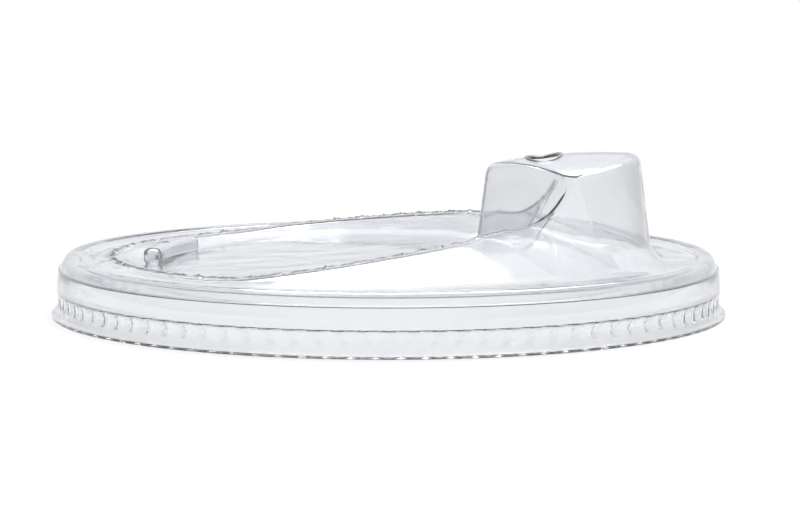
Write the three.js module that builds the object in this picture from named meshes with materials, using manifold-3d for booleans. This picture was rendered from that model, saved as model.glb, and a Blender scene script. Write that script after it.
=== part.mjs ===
// A clear spout lid for a cold drink cup: one thermoformed shell of even wall.
// Millimetres, +Z up. The foot of the flange stands on z = 0 and the spout points along +X.
import * as THREE from "three";
import { mergeVertices } from "three/addons/utils/BufferGeometryUtils.js";
import Module from "manifold-3d";

const wasm = await Module();
wasm.setup();

// Driving dimensions of the shell and of the skirt that grips the cup's rolled rim
const wall = 0.4;
const crownRadius = 48.1; // middle of the flat crown that sits on the rolled rim
const crownWidth = 1.2;
const crownHeight = 9.05;
const shoulderRun = 2.4; // crown middle to the widest part of the shoulder
const shoulderHeight = 5.2;
const creaseRun = 2.1; // crown middle to the crease under the crown
const creaseHeight = 7.1;
const skirtRun = 2.15; // crown middle to the crests of the flutes
const flangeRun = 3.15; // crown middle to the edge of the flange
const flangeHeight = 0.6;
const flangeChamfer = 0.2;
const footWidth = 1.15; // flat ring that the lid stands on

// Snap flutes round the skirt
const fluteCount = 90;
const fluteDepth = 0.85;
const fluteBottom = 1.3;
const fluteTop = 3.2;
const fluteRunOut = 0.4; // height over which the flutes fade at each end

// Deck, ridge and pan
const deckRun = 1.9; // crown middle to the edge of the deck
const deckDrop = 0.9; // deck below the crown
const rampHeight = 11.65; // ridge top over the lid's middle
const rampSlope = 0.122; // ridge top rises towards the spout
const tailRise = 0.6; // least height of the ridge over the deck
const panHeight = 9.2; // pan floor in the lid's middle
const panSlope = 0.06;

// Spout
const spoutHeight = 24.3;
const spoutCrest = 33; // distance of the highest point from the lid's axis
const spoutCrown = 0.018; // fall to the sides, per mm squared
const spoutTilt = 0.0053; // fall to the nose and to the lips, per mm squared
const spoutAngle = 23.2; // degrees from the spout's middle to its corner
const spoutSweep = 9; // degrees over which the corner runs down to the ridge
const noseReach = 15; // distance of the nose from the lid's axis
const noseSpread = 0.952; // how far the nose opens sideways per mm of length
const noseRounding = 4; // degrees

// Sip hole, vent and the bar behind the pan
const sipLength = 11;
const sipWidth = 5.2;
const sipPlace = 23.6;
const sipLip = 0.32;
const ventRadius = 0.6;
const barRadius = 36.2;
const barWidth = 2.8;
const barHeight = 9.5;
const barStart = 149;
const barEnd = 179;
const barRounding = 0.5;

// Roundings of the sections, and how softly two heights or two radii meet
const footRounding = 0.9;
const shelfRounding = 1.2;
const panRounding = 1.2;
const roundingShare = 0.45; // most of a side that a rounding may take
const ridgeSoftness = 0.4;
const noseSoftness = 0.3;
const noseLimit = 0.2; // least opening of the nose's V
const crownOut = 0.75; // fullness of the crown's outer curve, as shares of its run and of its rise
const crownUp = 0.8;
const deckStepEase = 0.4; // share of the step down to the deck over which each end eases

// Punches reach past the skin that they cut
const sipPunchBelow = 4;
const sipPunchAbove = 2;
const ventPunchDepth = 3;

// Fineness of the mesh
const skirtSteps = 90;
const cornerSteps = 2;
const ovalSteps = 24;
const lipSteps = 6;
const ventSteps = 12;
const barSteps = 5;

const deckRadius = crownRadius - deckRun;
const deckHeight = crownHeight - deckDrop;

// Sections of the bank, the ridge and the pan at angles from the spout.
// land: deck edge to the foot of the bank. bank: foot to the ridge. shelf: ridge to the plinth's shoulder.
// sink: shoulder below the ramp. top: width of the ridge. lean: run of the pan's wall. round: ridge rounding.
const stations = [
  { at: 0, land: 4.6, bank: 3.4, shelf: 1.8, sink: 6.5, top: 1.0, lean: 1.6, round: 1.7 },
  { at: 12, land: 4.6, bank: 5.5, shelf: 2.2, sink: 5.6, top: 1.0, lean: 3.2, round: 1.6 },
  { at: 23.5, land: 4.6, bank: 11.4, shelf: 3.4, sink: 3.4, top: 1.0, lean: 6.0, round: 0.9 },
  { at: 31, land: 5.2, bank: 16.4, shelf: 6.4, sink: 2.7, top: 1.4, lean: 3.6, round: 0.9 },
  { at: 45, land: 6.8, bank: 15.4, shelf: 1.6, sink: 0.6, top: 3.6, lean: 2.6, round: 0.9 },
  { at: 70, land: 8.7, bank: 9.2, shelf: 1.0, sink: 0.4, top: 4.0, lean: 2.4, round: 0.9 },
  { at: 90, land: 5.8, bank: 7.9, shelf: 1.0, sink: 0.4, top: 4.0, lean: 2.4, round: 0.9 },
  { at: 105, land: 4.0, bank: 4.7, shelf: 0.9, sink: 0.3, top: 3.8, lean: 2.4, round: 0.8 },
  { at: 120, land: 2.8, bank: 1.4, shelf: 0.5, sink: 0.2, top: 3.6, lean: 2.2, round: 0.6 },
  { at: 180, land: 1.0, bank: 1.2, shelf: 0.5, sink: 0.2, top: 3.6, lean: 2.2, round: 0.6 },
];

const lerp = THREE.MathUtils.lerp;
const degrees = THREE.MathUtils.radToDeg;
const radians = THREE.MathUtils.degToRad;

// Value of one station dimension at an angle: a cubic through the stations that never overshoots
function stationValue(name, angle) {
  const last = stations.length - 1;
  const index = Math.min(stations.findLastIndex((station) => station.at <= angle), last - 1);
  const [from, to] = [stations[index], stations[index + 1]];
  const rise = (i) => (stations[i + 1][name] - stations[i][name]) / (stations[i + 1].at - stations[i].at);
  const slopeAt = (i) => {
    if (i === 0 || i === last) return 0;
    const [before, after] = [rise(i - 1), rise(i)];
    return before * after > 0 ? (2 * before * after) / (before + after) : 0;
  };
  const span = to.at - from.at;
  const t = (angle - from.at) / span;
  const ease = t * t * (3 - 2 * t);
  const start = t * (1 - t) * (1 - t) * span * slopeAt(index);
  const finish = t * t * (t - 1) * span * slopeAt(index + 1);
  return lerp(from[name], to[name], ease) + start + finish;
}

// The larger and the smaller of two values, with a soft change from one to the other
function softMax(a, b, softness) {
  return (a + b + Math.hypot(a - b, softness)) / 2;
}

function softMin(a, b, softness) {
  return (a + b - Math.hypot(a - b, softness)) / 2;
}

// Height of the ridge, of the pan floor and of the spout's top at a place
function rampAt(x) {
  return softMax(rampHeight + rampSlope * x, deckHeight + tailRise, ridgeSoftness);
}

function panAt(x) {
  return panHeight + panSlope * x;
}

function spoutTopAt(x, y) {
  return spoutHeight - spoutCrown * y * y - spoutTilt * (x - spoutCrest) ** 2;
}

// Radius of the nose, the straight-sided V that closes the spout towards the pan
function noseRadius(angle) {
  const turn = Math.hypot(angle, noseRounding);
  const open = (a) => noseSpread * Math.cos(radians(a)) - Math.sin(radians(a));
  return (noseReach * open(noseRounding)) / Math.max(open(turn), noseLimit);
}

// Section polyline with each corner rounded by a quadratic curve of a fixed number of steps
function roundCorners(corners) {
  return corners.flatMap(({ at, round, steps = cornerSteps }, index) => {
    if (!round) return [at];
    const before = corners[index - 1].at;
    const after = corners[index + 1].at;
    const reach = (other) => Math.min(round / at.distanceTo(other), roundingShare);
    const start = at.clone().lerp(before, reach(before));
    const finish = at.clone().lerp(after, reach(after));
    return new THREE.QuadraticBezierCurve(start, at, finish).getPoints(steps);
  });
}

// Section of the top, from the bank's foot over the ridge or the spout down to the pan floor
function topSection(turn) {
  const angle = Math.abs(turn);
  const value = (name) => stationValue(name, angle);
  const [cos, sin] = [Math.cos(radians(angle)), Math.sin(radians(angle))];
  const descent = THREE.MathUtils.clamp((angle - spoutAngle) / spoutSweep, 0, 1);
  const spoutShare = (1 - descent) ** 3;
  const topAt = (r) => lerp(rampAt(r * cos), spoutTopAt(r * cos, r * sin), spoutShare);
  const foot = deckRadius - value("land");
  const outer = foot - value("bank");
  const shoulder = outer + value("shelf");
  const inner = softMin(noseRadius(angle), outer - value("top"), noseSoftness);
  const middle = lerp(outer, inner, 0.5);
  const base = inner - value("lean");
  const point = (r, z) => new THREE.Vector2(r, z);
  return roundCorners([
    { at: point(deckRadius, deckHeight) },
    { at: point(foot, deckHeight), round: footRounding, steps: 1 },
    { at: point(shoulder, rampAt(shoulder * cos) - value("sink")), round: shelfRounding },
    { at: point(outer, topAt(outer)), round: value("round") },
    { at: point(middle, topAt(middle)) },
    { at: point(inner, topAt(inner)), round: value("round") },
    { at: point(base, panAt(base * cos)), round: panRounding, steps: 1 },
    { at: point(0, panHeight) },
  ]).slice(1, -1);
}

// A ring is a list of points round the axis, by rising angle, each with its angle in degrees
function ring(angles, place) {
  return angles.map((angle) => {
    const { x: r, y: z } = place(angle);
    return { angle, at: new THREE.Vector3(r * Math.cos(radians(angle)), r * Math.sin(radians(angle)), z) };
  });
}

function evenAngles(count) {
  return Array.from({ length: count }, (_, i) => (360 * i) / count);
}

// Angles of the top's sections: close together where the spout's corner runs down to the ridge
function topAngles() {
  const half = [];
  const cornerLead = 2; // degrees
  const [steepEnd, sweepEnd] = [0.4 * spoutSweep, 1.2 * spoutSweep];
  const runs = [
    { to: spoutAngle - cornerLead, count: 8 },
    { to: spoutAngle + steepEnd, count: 6 },
    { to: spoutAngle + sweepEnd, count: 5 },
    { to: 180, count: 28 },
  ];
  let from = 0;
  for (const { to, count } of runs) {
    for (let i = 0; i < count; i++) half.push(lerp(from, to, i / count));
    from = to;
  }
  return [...half, 180, ...half.slice(1).reverse().map((angle) => 360 - angle)];
}

// Outer skin of the skirt, from the flange's foot up over the crown to the deck
function skirtRings() {
  const flat = evenAngles(skirtSteps);
  const fluted = evenAngles(2 * fluteCount);
  const skirtRadius = crownRadius + skirtRun;
  const flangeRadius = crownRadius + flangeRun;
  const plain = (r, z) => ring(flat, () => new THREE.Vector2(r, z));
  const flutes = (z) =>
    ring(fluted, (angle) => {
      const isValley = Math.round((angle * fluteCount) / 180) % 2;
      return new THREE.Vector2(skirtRadius - fluteDepth * isValley, z);
    });
  const crownOuter = crownRadius + crownWidth / 2;
  const crownInner = crownRadius - crownWidth / 2;
  const crease = new THREE.Vector2(crownRadius + creaseRun, creaseHeight);
  const corner = new THREE.Vector2(
    lerp(crownOuter, crease.x, crownOut),
    lerp(creaseHeight, crownHeight, crownUp),
  );
  const crownArc = new THREE.QuadraticBezierCurve(crease, corner, new THREE.Vector2(crownOuter, crownHeight));
  const inside = new THREE.CubicBezierCurve(
    new THREE.Vector2(crownInner, crownHeight),
    new THREE.Vector2(lerp(crownInner, deckRadius, deckStepEase), crownHeight),
    new THREE.Vector2(lerp(deckRadius, crownInner, deckStepEase), deckHeight),
    new THREE.Vector2(deckRadius, deckHeight),
  );
  return [
    plain(flangeRadius - flangeChamfer, 0),
    plain(flangeRadius, flangeChamfer),
    plain(flangeRadius - flangeChamfer, flangeHeight),
    plain(skirtRadius, fluteBottom),
    flutes(fluteBottom + fluteRunOut),
    flutes(fluteTop - fluteRunOut),
    plain(skirtRadius, fluteTop),
    plain(crownRadius + shoulderRun, shoulderHeight),
    ...crownArc.getPoints(2).map((p) => plain(p.x, p.y)),
    ...inside.getPoints(3).map((p) => plain(p.x, p.y)),
  ];
}

// Outer skin of everything inside the deck's edge
function topRings() {
  const angles = topAngles();
  const sections = angles.map((angle) => topSection(angle > 180 ? angle - 360 : angle));
  const rings = sections[0].map((_, level) => ring(angles, (angle) => sections[angles.indexOf(angle)][level]));
  const middle = ring([0], () => new THREE.Vector2(0, panHeight));
  return [...rings, middle];
}

// Triangles between each ring and the next, as indices into the joined list of all points
function stitch(rings) {
  const points = rings.flat().map((p) => p.at);
  const triangles = [];
  let first = 0;
  for (let level = 0; level + 1 < rings.length; level++) {
    const [a, b] = [rings[level], rings[level + 1]];
    const second = first + a.length;
    const angleOf = (side, i) => (i < side.length ? side[i].angle : 360);
    let i = 0;
    let j = 0;
    while (i < a.length || j < b.length) {
      const [iNow, iNext] = [first + (i % a.length), first + ((i + 1) % a.length)];
      const [jNow, jNext] = [second + (j % b.length), second + ((j + 1) % b.length)];
      const lead = angleOf(a, i + 1) - angleOf(b, j + 1);
      const aLength = points[iNext].distanceTo(points[jNow]);
      const bLength = points[iNow].distanceTo(points[jNext]);
      const shorter = aLength <= bLength;
      const aFirst = lead < 0 || (lead === 0 && shorter);
      if (j === b.length || (i < a.length && aFirst)) {
        if (a.length > 1) triangles.push([iNow, iNext, jNow]);
        i++;
      } else {
        if (b.length > 1) triangles.push([iNow, jNext, jNow]);
        j++;
      }
    }
    first = second;
  }
  return { points, triangles };
}

// The same rings one wall further in: each point moves so that the faces round it all move by the wall
function insideOf(rings) {
  const { points, triangles } = stitch(rings);
  const steadiness = 0.02; // keeps the sum solvable where all faces are nearly in one plane
  const faces = points.map(() => []);
  for (const corners of triangles) {
    const face = new THREE.Triangle(...corners.map((index) => points[index]));
    const normal = face.getNormal(new THREE.Vector3());
    const weight = Math.sqrt(face.getArea());
    corners.forEach((index) => faces[index].push({ normal, weight }));
  }
  const moved = points.map((point, index) => {
    const mean = new THREE.Vector3();
    faces[index].forEach(({ normal, weight }) => mean.addScaledVector(normal, weight));
    mean.normalize();
    const sums = new Array(9).fill(0);
    const misfit = new THREE.Vector3();
    let total = 0;
    for (const { normal, weight } of faces[index]) {
      const n = normal.toArray();
      n.forEach((a, row) => n.forEach((b, column) => (sums[3 * row + column] += weight * a * b)));
      misfit.addScaledVector(normal, weight * (1 - normal.dot(mean)));
      total += weight;
    }
    for (const diagonal of [0, 4, 8]) {
      sums[diagonal] += steadiness * total;
    }
    const correction = misfit.applyMatrix3(new THREE.Matrix3().set(...sums).invert());
    return point.clone().addScaledVector(mean.add(correction), -wall);
  });
  let next = 0;
  return rings.map((level) => level.map(({ angle }) => ({ angle, at: moved[next++] })));
}

function solid(positions, indices) {
  return new wasm.Manifold(
    new wasm.Mesh({
      numProp: 3,
      vertProperties: new Float32Array(positions),
      triVerts: new Uint32Array(indices),
    }),
  );
}

function solidOf(geometry) {
  geometry.deleteAttribute("normal");
  geometry.deleteAttribute("uv");
  const merged = mergeVertices(geometry, 1e-4);
  return solid(merged.attributes.position.array, merged.index.array);
}

// The shell: outer skin, inner skin and the flat foot ring between them
function shell() {
  const skirt = skirtRings();
  const outer = [...skirt, ...topRings()];
  const flangeLevels = 3;
  const inner = insideOf(outer).slice(flangeLevels);
  const footRadius = crownRadius + flangeRun - flangeChamfer - footWidth;
  const foot = ring(evenAngles(skirtSteps), () => new THREE.Vector2(footRadius, 0));
  const { points, triangles } = stitch([...inner.reverse(), foot, ...outer]);
  return solid(points.flatMap((p) => p.toArray()), triangles.flat());
}

// Raised lip round the sip hole, laid on the crowned top of the spout
function sipLipRing() {
  const lip = new THREE.TorusGeometry(1, 0.5, lipSteps, ovalSteps);
  const place = lip.attributes.position;
  for (let i = 0; i < place.count; i++) {
    const turn = Math.atan2(place.getY(i), place.getX(i));
    const side = (Math.hypot(place.getX(i), place.getY(i)) - 1) * 2 * sipLip;
    const x = sipPlace + (sipWidth / 2 + sipLip + side) * Math.cos(turn);
    const y = (sipLength / 2 + sipLip + side) * Math.sin(turn);
    place.setXYZ(i, x, y, spoutTopAt(x, y) + 2 * sipLip * place.getZ(i));
  }
  return solidOf(lip);
}

function sipHole() {
  const outline = new THREE.Shape().absellipse(sipPlace, 0, sipWidth / 2, sipLength / 2, 0, 2 * Math.PI);
  const cut = new THREE.ExtrudeGeometry(outline, {
    depth: sipPunchBelow + sipPunchAbove,
    bevelEnabled: false,
    curveSegments: ovalSteps,
  });
  return solidOf(cut.translate(0, 0, spoutHeight - sipPunchBelow));
}

// Long rounded bar, bent round the lid's axis, with its top at a height and its sides inset by a distance
function barSolid(inset, top, bottom) {
  const half = barWidth / 2 - inset - barRounding;
  const endTurn = degrees(half / barRadius);
  const [start, end] = [radians(barStart + endTurn), radians(barEnd - endTurn)];
  const outline = new THREE.Shape();
  outline.absarc(0, 0, barRadius + half, start, end, false);
  outline.absarc(0, 0, barRadius - half, end, start, true);
  const body = new THREE.ExtrudeGeometry(outline, {
    depth: top - bottom - barRounding,
    curveSegments: barSteps,
    bevelThickness: barRounding,
    bevelSize: barRounding,
    bevelSegments: 1,
  });
  return solidOf(body.translate(0, 0, bottom));
}

function vent() {
  const angle = radians((barStart + barEnd) / 2);
  const cut = new THREE.CylinderGeometry(ventRadius, ventRadius, ventPunchDepth, ventSteps);
  cut.rotateX(Math.PI / 2);
  return solidOf(cut.translate(barRadius * Math.cos(angle), barRadius * Math.sin(angle), barHeight));
}

function lidSolid() {
  const barBottom = panAt(-barRadius);
  return shell()
    .add(barSolid(0, barHeight, barBottom))
    .subtract(barSolid(wall, barHeight - wall, barBottom - 2 * wall - barRounding))
    .subtract(vent())
    .add(sipLipRing())
    .subtract(sipHole());
}

const mesh = lidSolid().getMesh();
const geometry = new THREE.BufferGeometry();
geometry.setAttribute("position", new THREE.BufferAttribute(mesh.vertProperties, 3));
geometry.setIndex(new THREE.BufferAttribute(mesh.triVerts, 1));
geometry.computeVertexNormals();

const clearPet = new THREE.MeshStandardMaterial({
  color: 0xe8edef,
  roughness: 0.08,
  metalness: 0,
  transparent: true,
  opacity: 0.4,
});

const lid = new THREE.Mesh(geometry, clearPet);
lid.name = "lid";

const spoutLid = new THREE.Group();
spoutLid.add(lid);
export default spoutLid;
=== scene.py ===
"""Looks of the clear spout lid: one thin formed shell, its clear plastic and a plain studio."""

from math import atan2, cos, degrees, hypot, pi, radians, sin

import bmesh
import bpy
from bpy.props import FloatProperty, FloatVectorProperty, IntProperty, PointerProperty
from bpy.types import Operator, Panel, PropertyGroup
from mathutils import Matrix, Vector, noise


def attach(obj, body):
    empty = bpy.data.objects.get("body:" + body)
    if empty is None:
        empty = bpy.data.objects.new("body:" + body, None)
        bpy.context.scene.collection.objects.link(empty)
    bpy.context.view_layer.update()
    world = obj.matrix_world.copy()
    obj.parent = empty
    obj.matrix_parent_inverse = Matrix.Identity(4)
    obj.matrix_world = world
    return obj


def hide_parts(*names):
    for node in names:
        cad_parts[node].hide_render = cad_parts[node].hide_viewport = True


bl_info = {
    "name": "Spout Cup Lid",
    "version": (1, 0, 0),
    "blender": (4, 5, 0),
    "location": "View3D > Sidebar > Spout Lid",
    "description": "Builds a clear thermoformed spout lid and a plain studio round it",
    "category": "Add Mesh",
}

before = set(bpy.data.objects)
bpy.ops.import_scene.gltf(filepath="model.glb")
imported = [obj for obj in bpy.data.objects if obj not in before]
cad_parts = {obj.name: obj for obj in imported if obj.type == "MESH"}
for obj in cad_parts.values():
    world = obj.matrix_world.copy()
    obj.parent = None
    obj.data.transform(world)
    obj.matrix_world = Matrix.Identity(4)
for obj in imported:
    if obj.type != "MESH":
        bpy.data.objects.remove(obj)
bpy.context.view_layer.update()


def hex_colour(text):
    """Linear colour from an sRGB hex code."""
    channels = [int(text[i:i + 2], 16) / 255 for i in (0, 2, 4)]
    linear = [c / 12.92 if c <= 0.04045 else ((c + 0.055) / 1.055) ** 2.4 for c in channels]
    return (*linear, 1.0)


def length(name, description, millimetres):
    """A length property whose default is given in millimetres."""
    return FloatProperty(
        name=name, description=description, default=millimetres / 1000, unit="LENGTH", precision=5)


def angle_of(name, description, degrees_value):
    """An angle property whose default is given in degrees."""
    return FloatProperty(
        name=name, description=description, default=radians(degrees_value), subtype="ANGLE")


def number(name, description, value):
    """A plain number property, such as a slope."""
    return FloatProperty(name=name, description=description, default=value, precision=4)


def colour(name, description, code):
    """A colour property whose default is given as an sRGB hex code."""
    return FloatVectorProperty(
        name=name, description=description, default=hex_colour(code), subtype="COLOR",
        size=4, min=0.0, max=1.0)


class LidSizes(PropertyGroup):
    """Driving sizes of the formed shell."""

    wall: length("Wall", "Thickness of the formed sheet", 0.4)
    crown_radius: length("Crown Radius", "Middle of the flat crown that sits on the cup's rolled rim", 48.1)
    crown_width: length("Crown Width", "Width of the flat crown", 1.2)
    crown_height: length("Crown Height", "Height of the crown over the foot", 9.05)
    shoulder_run: length("Shoulder Run", "Crown middle to the widest part of the shoulder", 2.4)
    shoulder_height: length("Shoulder Height", "Height of the widest part of the shoulder", 5.2)
    crease_run: length("Crease Run", "Crown middle to the crease under the crown", 2.1)
    crease_height: length("Crease Height", "Height of the crease under the crown", 7.1)
    skirt_run: length("Skirt Run", "Crown middle to the crests of the flutes", 2.15)
    flange_run: length("Flange Run", "Crown middle to the cut edge of the flange", 3.15)
    ledge: length("Ledge", "Width of the small ledges above and below the shoulder", 0.3)
    flute_depth: length("Flute Depth", "Depth of the snap flutes", 0.8)
    flute_bottom: length("Flute Bottom", "Height at which the flutes start", 1.4)
    flute_top: length("Flute Top", "Height at which the flutes end", 3.5)
    flute_count: IntProperty(name="Flutes", description="Snap flutes round the skirt", default=90, min=3)
    deck_run: length("Deck Run", "Crown middle to the edge of the deck", 1.9)
    deck_drop: length("Deck Drop", "Depth of the deck below the crown", 0.9)
    ramp_height: length("Ramp Height", "Height of the ridge over the lid's middle", 11.65)
    ramp_slope: number("Ramp Slope", "Rise of the ridge towards the spout", 0.122)
    tail_rise: length("Tail Rise", "Least height of the ridge over the deck", 0.6)
    pan_height: length("Pan Height", "Height of the pan floor in the lid's middle", 9.2)
    pan_slope: number("Pan Slope", "Rise of the pan floor towards the spout", 0.06)
    spout_height: length("Spout Height", "Height of the spout's crest", 24.3)
    spout_crest: length("Spout Crest", "Distance of the crest from the lid's axis", 33.0)
    spout_crown: number("Spout Crown", "Fall to the sides, in metres per metre squared", 18.0)
    spout_tilt: number("Spout Tilt", "Fall to the nose and the lips, in metres per metre squared", 5.3)
    spout_angle: angle_of("Spout Angle", "From the spout's middle to its corner", 23.2)
    spout_sweep: angle_of("Spout Sweep", "Turn over which the corner runs down to the ridge", 9.0)
    nose_reach: length("Nose Reach", "Distance of the nose from the lid's axis", 15.0)
    nose_spread: number("Nose Spread", "How fast the nose opens sideways", 0.952)
    nose_rounding: angle_of("Nose Rounding", "Rounding of the nose's tip", 4.0)
    sip_length: length("Sip Length", "Length of the sip hole across the spout", 11.0)
    sip_width: length("Sip Width", "Width of the sip hole along the spout", 5.2)
    sip_place: length("Sip Place", "Distance of the sip hole from the lid's axis", 23.6)
    sip_lip: length("Sip Lip", "Height of the raised lip round the sip hole", 0.22)
    vent_radius: length("Vent Radius", "Radius of the vent hole", 0.6)
    bar_radius: length("Bar Radius", "Distance of the bar from the lid's axis", 36.2)
    bar_width: length("Bar Width", "Width of the bar", 2.8)
    bar_height: length("Bar Height", "Height of the bar's top over the foot", 9.5)
    bar_start: angle_of("Bar Start", "Where the bar starts, from the spout", 149.0)
    bar_end: angle_of("Bar End", "Where the bar ends, from the spout", 179.0)
    bead_height: length("Bead Height", "Height of the small beads along the ridge", 0.42)
    bead_pitch: length("Bead Pitch", "Mean distance of the beads along the ridge", 1.7)


class LidLooks(PropertyGroup):
    """Colours and optics of the sheet and the studio."""

    sheet_colour: colour("Sheet Colour", "Tint of the clear sheet", "FAFBFD")
    sheet_ior: number("Sheet IOR", "Refractive index of clear PET", 1.575)
    sheet_clarity: number("Sheet Clarity", "Share of the light that the sheet passes, the rest is haze", 0.95)
    floor_colour: colour("Floor Colour", "Colour of the studio floor", "F4F4F4")
    room_colour: colour("Room Colour", "Colour of the light from the room", "F2F4F8")
    lamp_power: number("Lamp Power", "Power of the softbox in watts", 6.0)


# Sections at angles from the spout, in degrees and millimetres:
# land: deck edge to the foot of the bank, bank: foot to the ridge, shelf: ridge to the plinth's shoulder,
# sink: shoulder below the ramp, top: width of the ridge, lean: run of the pan's wall, soft: ridge rounding
STATION_NAMES = ("at", "land", "bank", "shelf", "sink", "top", "lean", "soft")
STATIONS = (
    (0, 4.6, 3.4, 1.8, 6.5, 1.0, 1.6, 1.7),
    (12, 4.6, 5.5, 2.2, 5.6, 1.0, 3.2, 1.6),
    (23.5, 4.6, 11.4, 3.4, 3.4, 1.0, 6.0, 0.9),
    (31, 5.2, 16.4, 6.4, 2.7, 1.4, 3.6, 0.9),
    (45, 6.8, 15.4, 1.6, 0.6, 3.6, 2.6, 0.6),
    (70, 8.7, 9.2, 1.0, 0.4, 4.0, 2.4, 0.4),
    (90, 5.8, 7.9, 1.0, 0.4, 4.0, 2.4, 0.35),
    (105, 4.0, 4.7, 0.9, 0.3, 3.8, 2.4, 0.35),
    (120, 2.8, 1.4, 0.5, 0.2, 3.6, 2.2, 0.35),
    (180, 1.0, 1.2, 0.5, 0.2, 3.6, 2.2, 0.35),
)
AROUND = 720  # points in each ring of the shell
TURN_STOPS = (0.0, 0.085, 0.25, 0.33, 1.0)  # share of a half ring's points
TURN_ANGLES = (0.0, 20.0, 34.0, 50.0, 180.0)  # degrees from the spout that the share reaches

# Roundings of the sections and softness of the joins, in metres
FOOT_ROUNDING = 0.0012
SHELF_ROUNDING = 0.0014
PAN_ROUNDING = 0.0014
RIDGE_SOFTNESS = 0.0004
NOSE_SOFTNESS = 0.0003
ROUNDING_SHARE = 0.45  # most of a side that a rounding may take
NOSE_LIMIT = 0.2  # least opening of the nose's V
RIDGE_SHARES = (0.25, 0.37, 0.5, 0.63, 0.75)  # points across the ridge's top
PAN_RING = 0.6  # last ring of the pan, as a share of the pan's edge
CROWN_OUT, CROWN_UP = 0.75, 0.8  # fullness of the crown's outer curve
DECK_EASE = 0.7  # easing of the step down to the deck
FLUTE_SHARES = (0.12, 0.3, 0.5, 0.7, 0.88)  # points up a flute
FLANGE_FILLET = 0.0005  # run of the curve from the flange up into the skirt
FILLET_TIGHTNESS = 0.00005  # how near that curve's control point lies to its corner

# Beads along the ridge
BEAD_START = 34  # degrees from the spout
BEAD_FADE = 6  # degrees over which they grow
BEAD_FALL = 3.2  # fall of their height from the ridge's middle, per width of the ridge
BEAD_REGULARITY = 0.7  # height of the even waves, to which the noise is added
BEAD_NOISE_STEP, BEAD_NOISE_ROW = 0.9, 3.0

# Punches, and the parts of a turn
SIP_PUNCH_DEPTH, SIP_PUNCH_SIDES = 0.006, 96
VENT_PUNCH_DEPTH, VENT_PUNCH_SIDES = 0.002, 24
BAR_STEPS = 12  # each step is longer than the bar's rounding
BAR_ROUNDING = 0.7  # share of the bar's half width
CORNER_ANGLE = radians(60)  # edges of the bar that are sharper than this are rounded
LIP_SIDES, LIP_STEPS = 12, 72
LIP_RING = 3  # radius of the ring before it is bent to the oval, where its section has radius 1
LIP_SET_OUT = 0.55  # share of the lip's thickness by which its middle lies outside the hole's edge
SHARP_ANGLE = radians(50)
WELD, SEAM_WELD = 1e-6, 2e-6  # points nearer than this are joined
SLIT_SIDES = 8  # most sides of a slit that is filled

# Camera, fitted to the ellipses of the lid in a picture 800 pixels wide
PICTURE_WIDTH = 800
FOCAL_PIXELS = 2963.6
SHIFT_PIXELS = 11.4
SENSOR = 36.0
CAMERA_PLACE = (0.0, -0.450, 0.05925)
CAMERA_DIP = 0.114  # radians below the level

# Finish of the sheet: noise scales per metre
WAVE_SCALE = 160.0  # waves some 6 mm apart
HAZE_SCALE = 60.0  # patches some 17 mm across
ROUGHNESS = (0.04, 0.1)
WAVE_STRENGTH, WAVE_DEPTH = 0.12, 0.0004

# Studio, in metres
FLOOR_SIZE = 6.0
FLOOR_GLOW = 0.75  # share of plain white near the lid, the rest is matte and takes the shadow
SHADOW_REACH = (0.07, 0.2)  # between these distances the floor turns to plain white
LAMP_PLACE = (0.1, 0.3, 0.7)
LAMP_SIZE = (0.7, 0.5)

# The room darkens between these values of a direction's part to the side, and towards the front
SIDE_FADE, SIDE_LEVEL = (0.35, 0.85), 0.15
FRONT_FADE, FRONT_LEVEL = (-0.9, -0.3), 0.85


def mix(a, b, t):
    """Value between two others."""
    return a + (b - a) * t


def station_value(name, turn):
    """Value in metres of one station size at an angle: a cubic that never overshoots."""
    column = STATION_NAMES.index(name)
    last = len(STATIONS) - 1
    index = max(i for i in range(last) if STATIONS[i][0] <= turn)

    def rise(i):
        return (STATIONS[i + 1][column] - STATIONS[i][column]) / (STATIONS[i + 1][0] - STATIONS[i][0])

    def slope_at(i):
        if i in (0, last):
            return 0.0
        before, after = rise(i - 1), rise(i)
        return 2 * before * after / (before + after) if before * after > 0 else 0.0

    start, finish = STATIONS[index], STATIONS[index + 1]
    span = finish[0] - start[0]
    t = (turn - start[0]) / span
    value = mix(start[column], finish[column], t * t * (3 - 2 * t))
    value += t * (1 - t) ** 2 * span * slope_at(index) + t * t * (t - 1) * span * slope_at(index + 1)
    return value / 1000


def soft_max(a, b, softness):
    """The larger of two values, with a soft change from one to the other."""
    return (a + b + hypot(a - b, softness)) / 2


def soft_min(a, b, softness):
    """The smaller of two values, with a soft change from one to the other."""
    return (a + b - hypot(a - b, softness)) / 2


def curve_through(start, control, finish, steps):
    """Points of a quadratic curve, both ends included."""
    points = []
    for i in range(steps + 1):
        t = i / steps
        points.append(start.lerp(control, t).lerp(control.lerp(finish, t), t))
    return points


def rounded(corners):
    """Section polyline whose corners are rounded. Each corner is (point, reach of the rounding, steps)."""
    points = []
    for index, (at, reach, steps) in enumerate(corners):
        if not steps:
            points.append(at)
            continue
        before, after = corners[index - 1][0], corners[index + 1][0]
        start = at.lerp(before, min(reach / (before - at).length, ROUNDING_SHARE))
        finish = at.lerp(after, min(reach / (after - at).length, ROUNDING_SHARE))
        points.extend(curve_through(start, at, finish, steps))
    return points


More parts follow.
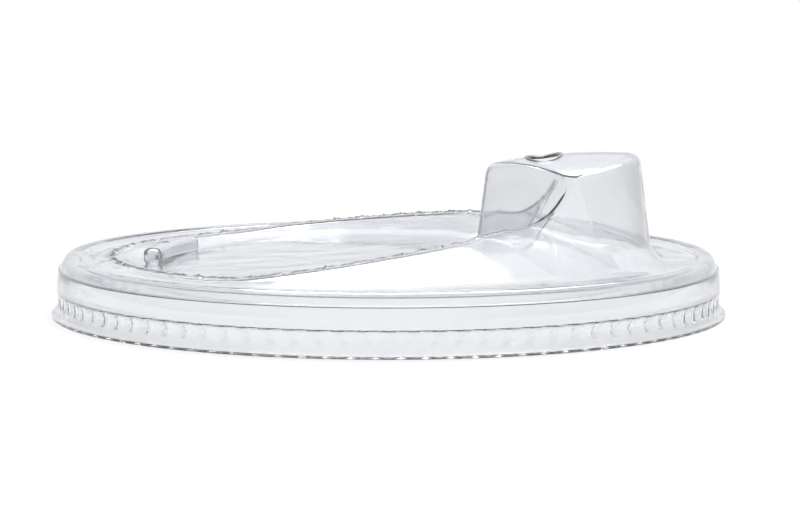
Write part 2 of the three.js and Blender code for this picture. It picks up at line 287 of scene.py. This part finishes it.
class Shell:
    """Outer skin of the lid, as sections at any angle from the spout."""

    def __init__(self, sizes):
        self.sizes = sizes
        self.deck_radius = sizes.crown_radius - sizes.deck_run
        self.deck_height = sizes.crown_height - sizes.deck_drop

    def ramp_at(self, x):
        """Height of the ridge, which climbs towards the spout."""
        sizes = self.sizes
        tail = self.deck_height + sizes.tail_rise
        return soft_max(sizes.ramp_height + sizes.ramp_slope * x, tail, RIDGE_SOFTNESS)

    def pan_at(self, x):
        """Height of the pan floor."""
        return self.sizes.pan_height + self.sizes.pan_slope * x

    def spout_top_at(self, x, y):
        """Height of the spout's crowned top."""
        sizes = self.sizes
        tilt = sizes.spout_tilt * (x - sizes.spout_crest) ** 2
        return sizes.spout_height - sizes.spout_crown * y * y - tilt

    def nose_radius(self, turn):
        """Radius of the nose: a V with straight sides and a rounded tip."""
        sizes = self.sizes

        def opening(angle):
            return sizes.nose_spread * cos(angle) - sin(angle)

        reach = sizes.nose_reach * opening(sizes.nose_rounding)
        return reach / max(opening(hypot(turn, sizes.nose_rounding)), NOSE_LIMIT)

    def top_height(self, turn, radius):
        """Height of the ridge or the spout's top, and how it runs from one to the other."""
        sizes = self.sizes
        descent = min(max((turn - sizes.spout_angle) / sizes.spout_sweep, 0.0), 1.0)
        x, y = radius * cos(turn), radius * sin(turn)
        return mix(self.ramp_at(x), self.spout_top_at(x, y), (1 - descent) ** 3)

    def bead(self, turn, radius, across):
        """Small uneven beads along the middle of the ridge."""
        sizes = self.sizes
        grown = min(max((degrees(turn) - BEAD_START) / BEAD_FADE, 0.0), 1.0)
        fade = grown * max(0.0, 1 - abs(across - 0.5) * BEAD_FALL)
        along = turn * radius / sizes.bead_pitch
        uneven = noise.noise(Vector((along * BEAD_NOISE_STEP, 0.0, BEAD_NOISE_ROW)))
        regular = sin(2 * pi * along + 3 * uneven)
        return sizes.bead_height * fade * max(0.0, regular * BEAD_REGULARITY + uneven)

    def top_section(self, turn):
        """Points from the bank's foot over the ridge or spout to the pan floor."""
        value = {name: station_value(name, min(degrees(turn), 180.0)) for name in STATION_NAMES[1:]}
        foot = self.deck_radius - value["land"]
        outer = foot - value["bank"]
        shoulder = outer + value["shelf"]
        inner = soft_min(self.nose_radius(turn), outer - value["top"], NOSE_SOFTNESS)
        base = inner - value["lean"]
        last = base * PAN_RING
        shoulder_height = self.ramp_at(shoulder * cos(turn)) - value["sink"]

        def on_top(share):
            radius = mix(outer, inner, share)
            return Vector((radius, self.top_height(turn, radius) + self.bead(turn, radius, share)))

        return rounded([
            (Vector((self.deck_radius, self.deck_height)), 0, 0),
            (Vector((foot, self.deck_height)), FOOT_ROUNDING, 3),
            (Vector((mix(foot, shoulder, 0.5), mix(self.deck_height, shoulder_height, 0.5))), 0, 0),
            (Vector((shoulder, shoulder_height)), SHELF_ROUNDING, 4),
            (Vector((outer, self.top_height(turn, outer))), value["soft"], 5),
            *[(on_top(share), 0, 0) for share in RIDGE_SHARES],
            (Vector((inner, self.top_height(turn, inner))), value["soft"], 5),
            (Vector((base, self.pan_at(base * cos(turn)))), PAN_ROUNDING, 4),
            (Vector((last, self.pan_at(last * cos(turn)))), 0, 0),
        ])[1:]

    def skirt_section(self, turn):
        """Points from the flange's cut edge up over the crown to the deck."""
        sizes = self.sizes
        skirt = sizes.crown_radius + sizes.skirt_run
        flange = sizes.crown_radius + sizes.flange_run
        dip = sizes.flute_depth * (0.5 - 0.5 * cos(sizes.flute_count * turn))
        step = sizes.ledge
        crown_outer = sizes.crown_radius + sizes.crown_width / 2
        crown_inner = sizes.crown_radius - sizes.crown_width / 2
        toe = Vector((skirt + FLANGE_FILLET, sizes.wall))
        heel = Vector((skirt + FILLET_TIGHTNESS, sizes.wall + FILLET_TIGHTNESS))
        flutes = [Vector((skirt - dip * sin(pi * t), mix(sizes.flute_bottom, sizes.flute_top, t)))
                  for t in FLUTE_SHARES]
        over_flutes = Vector((skirt + step * 0.7, sizes.flute_top + step / 2))
        shoulder = Vector((sizes.crown_radius + sizes.shoulder_run, sizes.shoulder_height))
        crease = Vector((sizes.crown_radius + sizes.crease_run, sizes.crease_height))
        set_in = crease + Vector((-step, step / 3))
        control_up = mix(sizes.crease_height, sizes.crown_height, CROWN_UP)
        control = Vector((mix(crown_outer, set_in.x, CROWN_OUT), control_up))
        inner_edge = Vector((crown_inner, sizes.crown_height))
        deck_edge = Vector((self.deck_radius, self.deck_height))
        middle = inner_edge.lerp(deck_edge, 0.5)
        ease_down = Vector((mix(crown_inner, middle.x, DECK_EASE), sizes.crown_height))
        ease_out = Vector((mix(self.deck_radius, middle.x, DECK_EASE), self.deck_height))
        return [
            Vector((flange, sizes.wall)),
            *curve_through(toe, heel, Vector((skirt, sizes.flute_bottom)), 3),
            *flutes,
            Vector((skirt - step / 3, sizes.flute_top)),
            *curve_through(over_flutes, shoulder, crease, 5),
            *curve_through(set_in, control, Vector((crown_outer, sizes.crown_height)), 6),
            *curve_through(inner_edge, ease_down, middle, 3),
            *curve_through(middle, ease_out, deck_edge, 3)[1:],
        ]


def top_turn(share):
    """Angle from the spout for a share of a half ring, closer together at the spout's corner."""
    for i in range(len(TURN_STOPS) - 1):
        if share <= TURN_STOPS[i + 1]:
            t = (share - TURN_STOPS[i]) / (TURN_STOPS[i + 1] - TURN_STOPS[i])
            return radians(mix(TURN_ANGLES[i], TURN_ANGLES[i + 1], t))
    return pi


def raise_ring(bm, ring, places):
    """Extrudes a closed ring of points and sets the new ring on the given places."""
    order = {vert: i for i, vert in enumerate(ring)}
    edges = [edge for edge in bm.edges if edge.is_boundary or edge.is_wire]
    edges = [edge for edge in edges if edge.verts[0] in order and edge.verts[1] in order]
    made = bmesh.ops.extrude_edge_only(bm, edges=edges)["geom"]
    raised = [None] * len(ring)
    for vert in (item for item in made if isinstance(item, bmesh.types.BMVert)):
        below = next(edge.other_vert(vert) for edge in vert.link_edges if edge.other_vert(vert) in order)
        raised[order[below]] = vert
        vert.co = places[order[below]]
    return raised


def add_piece(name, bm, material):
    """An object at the origin from a bmesh, with its material if it has one."""
    mesh = bpy.data.meshes.new(name)
    bm.to_mesh(mesh)
    bm.free()
    piece = bpy.data.objects.new(name, mesh)
    bpy.context.collection.objects.link(piece)
    if material:
        piece.data.materials.append(material)
    return piece


def add_shell(sizes):
    """The outer skin: a ring at the flange's edge, extruded level by level to the pan and closed there."""
    shell = Shell(sizes)
    bm = bmesh.new()
    columns = []
    for i in range(AROUND):
        share = i / AROUND
        side = 1 if share <= 0.5 else -1
        turn = top_turn(2 * share if side > 0 else 2 * (1 - share))
        section = shell.skirt_section(turn) + shell.top_section(turn)
        columns.append([Vector((p.x * cos(turn), side * p.x * sin(turn), p.y)) for p in section])
    ring = bmesh.ops.create_circle(bm, cap_ends=False, radius=1.0, segments=AROUND)["verts"]
    ring.sort(key=lambda vert: atan2(vert.co.y, vert.co.x) % (2 * pi - 1e-6))
    for vert, column in zip(ring, columns):
        vert.co = column[0]
    for level in range(1, len(columns[0])):
        ring = raise_ring(bm, ring, [column[level] for column in columns])
    rim = [edge for vert in ring for edge in vert.link_edges if edge.is_boundary]
    floor = bmesh.ops.contextual_create(bm, geom=list(set(rim)))["faces"][0]
    bmesh.ops.recalc_face_normals(bm, faces=bm.faces)
    if floor.normal.z < 0:
        bmesh.ops.reverse_faces(bm, faces=bm.faces)
    return bm


def apply_modifier(piece, kind, **values):
    """Adds one modifier to a piece and applies it."""
    modifier = piece.modifiers.new(kind.title(), kind)
    for key, value in values.items():
        setattr(modifier, key, value)
    bpy.context.view_layer.objects.active = piece
    bpy.ops.object.modifier_apply(modifier=modifier.name)


def add_bar(bm, sizes, inset, top, bottom):
    """A bar bent round the lid's axis: a rounded section spun through its turn."""
    half, tall = sizes.bar_width / 2 - inset, top - bottom
    trim = inset / sizes.bar_radius
    start, end = sizes.bar_start + trim, sizes.bar_end - trim
    made = bmesh.ops.create_grid(bm, x_segments=1, y_segments=1, size=0.5)["verts"]
    bmesh.ops.transform(bm, matrix=Matrix.Diagonal((2 * half, tall, 1.0, 1.0)), verts=made)
    stand = Matrix.Translation((sizes.bar_radius, 0, (top + bottom) / 2)) @ Matrix.Rotation(pi / 2, 4, "X")
    bmesh.ops.transform(bm, matrix=Matrix.Rotation(start, 4, "Z") @ stand, verts=made)
    bmesh.ops.spin(bm, geom=bm.verts[:] + bm.edges[:] + bm.faces[:], cent=(0, 0, 0),
                   axis=(0, 0, 1), angle=end - start, steps=BAR_STEPS)
    bmesh.ops.remove_doubles(bm, verts=bm.verts, dist=WELD)
    bmesh.ops.recalc_face_normals(bm, faces=bm.faces)
    corners = [edge for edge in bm.edges if edge.calc_face_angle(0.0) > CORNER_ANGLE]
    bmesh.ops.bevel(bm, geom=corners, offset=half * BAR_ROUNDING, affect="EDGES", segments=4,
                    profile=0.5, material=-1)


def add_lip(bm, sizes, shell):
    """Rounded lip round the sip hole, laid on the crowned top: a spun ring, bent to the oval."""
    thick = sizes.sip_lip
    made = bmesh.ops.create_circle(bm, cap_ends=False, radius=1.0, segments=LIP_SIDES)["verts"]
    stand = Matrix.Translation((LIP_RING, 0, 0)) @ Matrix.Rotation(pi / 2, 4, "X")
    bmesh.ops.transform(bm, matrix=stand, verts=made)
    bmesh.ops.spin(bm, geom=bm.verts[:] + bm.edges[:], cent=(0, 0, 0), axis=(0, 0, 1), angle=2 * pi,
                   steps=LIP_STEPS, use_merge=True)
    bmesh.ops.remove_doubles(bm, verts=bm.verts, dist=1e-4)
    bmesh.ops.recalc_face_normals(bm, faces=bm.faces)
    for vert in bm.verts:
        turn = atan2(vert.co.y, vert.co.x)
        side = (hypot(vert.co.x, vert.co.y) - LIP_RING) * thick
        x = sizes.sip_place + (sizes.sip_width / 2 + thick * LIP_SET_OUT + side) * cos(turn)
        y = (sizes.sip_length / 2 + thick * LIP_SET_OUT + side) * sin(turn)
        vert.co = (x, y, shell.spout_top_at(x, y) + thick * vert.co.z)


def add_punch(bm, place, width, breadth, depth, segments):
    """An upright oval punch for a hole."""
    made = bmesh.ops.create_cone(bm, cap_ends=True, radius1=0.5, radius2=0.5, depth=1.0, segments=segments)
    shape = Matrix.Translation(place) @ Matrix.Diagonal((width, breadth, depth, 1.0))
    bmesh.ops.transform(bm, matrix=shape, verts=made["verts"])
    bmesh.ops.recalc_face_normals(bm, faces=bm.faces)


def combine(piece, operation, make, *values):
    """Makes a closed shape and joins it to a piece, or cuts it out."""
    bm = bmesh.new()
    make(bm, *values)
    tool = add_piece("tool", bm, None)
    apply_modifier(piece, "BOOLEAN", object=tool, operation=operation, solver="EXACT")
    mesh = tool.data
    bpy.data.objects.remove(tool)
    bpy.data.meshes.remove(mesh)


def close_seams(piece):
    """Welds the seams that cutting leaves and fills any slit in them."""
    bm = bmesh.new()
    bm.from_mesh(piece.data)
    bmesh.ops.remove_doubles(bm, verts=bm.verts, dist=SEAM_WELD)
    bmesh.ops.dissolve_degenerate(bm, edges=bm.edges, dist=WELD)
    bmesh.ops.holes_fill(bm, edges=[edge for edge in bm.edges if edge.is_boundary], sides=SLIT_SIDES)
    bm.to_mesh(piece.data)
    bm.free()


def build_lid(sizes, looks):
    """The whole lid: skin, thickness, lip and sip hole, then the hollow bar and its vent."""
    shell = Shell(sizes)
    lid = add_piece("formed_lid", add_shell(sizes), clear_plastic(looks))
    apply_modifier(lid, "SOLIDIFY", thickness=sizes.wall, offset=-1.0, use_quality_normals=True)
    sip_place = (sizes.sip_place, 0, sizes.spout_height)
    bar_top = sizes.bar_height
    bar_bottom = shell.pan_at(-sizes.bar_radius)
    hollow_top, hollow_bottom = bar_top - sizes.wall, bar_bottom - 3 * sizes.wall
    bar_turn = (sizes.bar_start + sizes.bar_end) / 2
    vent_place = (sizes.bar_radius * cos(bar_turn), sizes.bar_radius * sin(bar_turn), bar_top)
    vent_width = 2 * sizes.vent_radius
    combine(lid, "UNION", add_lip, sizes, shell)
    combine(lid, "DIFFERENCE", add_punch, sip_place, sizes.sip_width, sizes.sip_length,
            SIP_PUNCH_DEPTH, SIP_PUNCH_SIDES)
    combine(lid, "UNION", add_bar, sizes, 0.0, bar_top, bar_bottom - sizes.wall / 2)
    combine(lid, "DIFFERENCE", add_bar, sizes, sizes.wall, hollow_top, hollow_bottom)
    combine(lid, "DIFFERENCE", add_punch, vent_place, vent_width, vent_width,
            VENT_PUNCH_DEPTH, VENT_PUNCH_SIDES)
    close_seams(lid)
    return lid


def add_node(tree, kind, inputs=None, **values):
    """Adds one node, sets its values and inputs, and returns it."""
    node = tree.nodes.new(kind)
    for key, value in values.items():
        setattr(node, key, value)
    for key, value in (inputs or {}).items():
        if isinstance(value, bpy.types.NodeSocket):
            tree.links.new(value, node.inputs[key])
        else:
            node.inputs[key].default_value = value
    return node


def new_material(name):
    """An empty node material and its tree."""
    material = bpy.data.materials.new(name)
    material.use_nodes = True
    material.node_tree.nodes.clear()
    return material, material.node_tree


def clear_plastic(looks):
    """Clear PET sheet, thermoformed: glossy, with slow waves that bend what is seen through it.

    Faint patches where the sheet is less glossy soften the reflections unevenly.
    """
    material, tree = new_material("clear_pet_thermoformed")
    place = add_node(tree, "ShaderNodeTexCoord").outputs["Object"]
    waves = add_node(tree, "ShaderNodeTexNoise", {"Vector": place, "Scale": WAVE_SCALE, "Detail": 1.0})
    haze = add_node(tree, "ShaderNodeTexNoise", {"Vector": place, "Scale": HAZE_SCALE, "Detail": 3.0})
    roughness = add_node(tree, "ShaderNodeMapRange", {
        "Value": haze.outputs["Fac"],
        "To Min": ROUGHNESS[0],
        "To Max": ROUGHNESS[1],
    })
    bump = add_node(tree, "ShaderNodeBump", {
        "Height": waves.outputs["Fac"],
        "Strength": WAVE_STRENGTH,
        "Distance": WAVE_DEPTH,
    })
    shader = add_node(tree, "ShaderNodeBsdfPrincipled", {
        "Base Color": looks.sheet_colour,
        "Roughness": roughness.outputs["Result"],
        "IOR": looks.sheet_ior,
        "Transmission Weight": looks.sheet_clarity,
        "Normal": bump.outputs["Normal"],
    })
    add_node(tree, "ShaderNodeOutputMaterial", {"Surface": shader.outputs["BSDF"]})
    return material


def add_camera():
    """The photograph's viewpoint."""
    data = bpy.data.cameras.new("camera")
    data.sensor_width = SENSOR
    data.lens = FOCAL_PIXELS * SENSOR / PICTURE_WIDTH
    data.shift_x = SHIFT_PIXELS / PICTURE_WIDTH
    data.clip_end = 20.0
    camera = bpy.data.objects.new("camera", data)
    camera.location = CAMERA_PLACE
    camera.rotation_euler = (pi / 2 - CAMERA_DIP, 0.0, 0.0)
    bpy.context.collection.objects.link(camera)
    bpy.context.scene.camera = camera


def add_floor(looks):
    """White studio floor: partly matte near the lid, where a faint shadow shows, and white further out."""
    material, tree = new_material("white_studio_floor")
    path = add_node(tree, "ShaderNodeLightPath").outputs
    seen = add_node(tree, "ShaderNodeMath", {0: path["Is Camera Ray"], 1: path["Is Glossy Ray"]},
                    operation="MAXIMUM")
    seen = add_node(tree, "ShaderNodeMath", {0: seen.outputs[0], 1: path["Is Transmission Ray"]},
                    operation="MAXIMUM")
    place = add_node(tree, "ShaderNodeTexCoord").outputs["Object"]
    reach = add_node(tree, "ShaderNodeVectorMath", {0: place}, operation="LENGTH")
    plain = add_node(tree, "ShaderNodeMapRange", {
        "Value": reach.outputs["Value"],
        "From Min": SHADOW_REACH[0],
        "From Max": SHADOW_REACH[1],
        "To Min": FLOOR_GLOW,
        "To Max": 1.0,
    }, interpolation_type="SMOOTHSTEP")
    share = add_node(tree, "ShaderNodeMath", {0: seen.outputs[0], 1: plain.outputs[0]}, operation="MULTIPLY")
    matte = add_node(tree, "ShaderNodeBsdfDiffuse", {"Color": looks.floor_colour}).outputs[0]
    glow = add_node(tree, "ShaderNodeEmission", {"Color": (1, 1, 1, 1), "Strength": 1.0}).outputs[0]
    both = add_node(tree, "ShaderNodeMixShader", {0: share.outputs[0], 1: matte, 2: glow})
    add_node(tree, "ShaderNodeOutputMaterial", {"Surface": both.outputs[0]})
    bm = bmesh.new()
    bmesh.ops.create_grid(bm, x_segments=1, y_segments=1, size=FLOOR_SIZE)
    floor = add_piece("floor", bm, material)


def add_world(looks):
    """Soft white room that darkens to both sides, so that clear edges read as grey lines."""
    world = bpy.data.worlds.new("studio")
    bpy.context.scene.world = world
    world.use_nodes = True
    tree = world.node_tree
    tree.nodes.clear()
    path = add_node(tree, "ShaderNodeLightPath")
    way = add_node(tree, "ShaderNodeTexCoord").outputs["Generated"]
    parts = add_node(tree, "ShaderNodeSeparateXYZ", {"Vector": way})
    side = add_node(tree, "ShaderNodeMath", {0: parts.outputs["X"]}, operation="ABSOLUTE")
    shade = add_node(tree, "ShaderNodeMapRange", {
        "Value": side.outputs[0],
        "From Min": SIDE_FADE[0],
        "From Max": SIDE_FADE[1],
        "To Min": 1.0,
        "To Max": SIDE_LEVEL,
    }, interpolation_type="SMOOTHSTEP")
    front = add_node(tree, "ShaderNodeMapRange", {
        "Value": parts.outputs["Y"],
        "From Min": FRONT_FADE[0],
        "From Max": FRONT_FADE[1],
        "To Min": FRONT_LEVEL,
        "To Max": 1.0,
    }, interpolation_type="SMOOTHSTEP")
    level = add_node(tree, "ShaderNodeMath", {0: shade.outputs[0], 1: front.outputs[0]}, operation="MULTIPLY")
    soft = add_node(tree, "ShaderNodeBackground", {"Color": looks.room_colour, "Strength": level.outputs[0]})
    white = add_node(tree, "ShaderNodeBackground", {"Color": (1, 1, 1, 1), "Strength": 1.0}).outputs[0]
    camera_ray = path.outputs["Is Camera Ray"]
    both = add_node(tree, "ShaderNodeMixShader", {0: camera_ray, 1: soft.outputs[0], 2: white})
    add_node(tree, "ShaderNodeOutputWorld", {"Surface": both.outputs[0]})


def add_softbox(looks):
    """Soft lamp over and behind the lid. It isn't mirrored in the sheet, so no hard patch shows there."""
    data = bpy.data.lights.new("softbox", "AREA")
    data.shape = "RECTANGLE"
    data.size, data.size_y = LAMP_SIZE
    data.energy = looks.lamp_power
    lamp = bpy.data.objects.new("softbox", data)
    lamp.location = LAMP_PLACE
    lamp.rotation_euler = (-Vector(LAMP_PLACE)).to_track_quat("-Z", "Y").to_euler()
    lamp.visible_glossy = False
    bpy.context.collection.objects.link(lamp)


class LID_OT_build(Operator):
    """Build the formed lid."""

    bl_idname = "spout_lid.build"
    bl_label = "Build Lid"

    def execute(self, context):
        lid = build_lid(context.scene.spout_lid_sizes, context.scene.spout_lid_looks)
        lid.data.polygons.foreach_set("use_smooth", [True] * len(lid.data.polygons))
        lid.data.set_sharp_from_angle(angle=SHARP_ANGLE)
        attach(lid, "root")
        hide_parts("lid")
        return {"FINISHED"}


class LID_OT_stage(Operator):
    """Build the camera, floor and lights."""

    bl_idname = "spout_lid.stage"
    bl_label = "Build Studio"

    def execute(self, context):
        context.scene.view_settings.view_transform = "Standard"
        looks = context.scene.spout_lid_looks
        add_camera()
        add_floor(looks)
        add_world(looks)
        add_softbox(looks)
        return {"FINISHED"}


class LID_PT_panel(Panel):
    """Sidebar panel of the lid."""

    bl_label = "Spout Lid"
    bl_space_type = "VIEW_3D"
    bl_region_type = "UI"
    bl_category = "Spout Lid"

    def draw(self, context):
        self.layout.operator(LID_OT_build.bl_idname)
        self.layout.operator(LID_OT_stage.bl_idname)


CLASSES = (LidSizes, LidLooks, LID_OT_build, LID_OT_stage, LID_PT_panel)


def register():
    """Registers the classes and hangs the settings on the scene."""
    for cls in CLASSES:
        bpy.utils.register_class(cls)
    bpy.types.Scene.spout_lid_sizes = PointerProperty(type=LidSizes)
    bpy.types.Scene.spout_lid_looks = PointerProperty(type=LidLooks)


def unregister():
    """Takes back what register did."""
    del bpy.types.Scene.spout_lid_looks
    del bpy.types.Scene.spout_lid_sizes
    for cls in reversed(CLASSES):
        bpy.utils.unregister_class(cls)


def main():
    """Builds the lid and the studio."""
    register()
    bpy.ops.spout_lid.build()
    bpy.ops.spout_lid.stage()


if __name__ == "__main__":
    main()
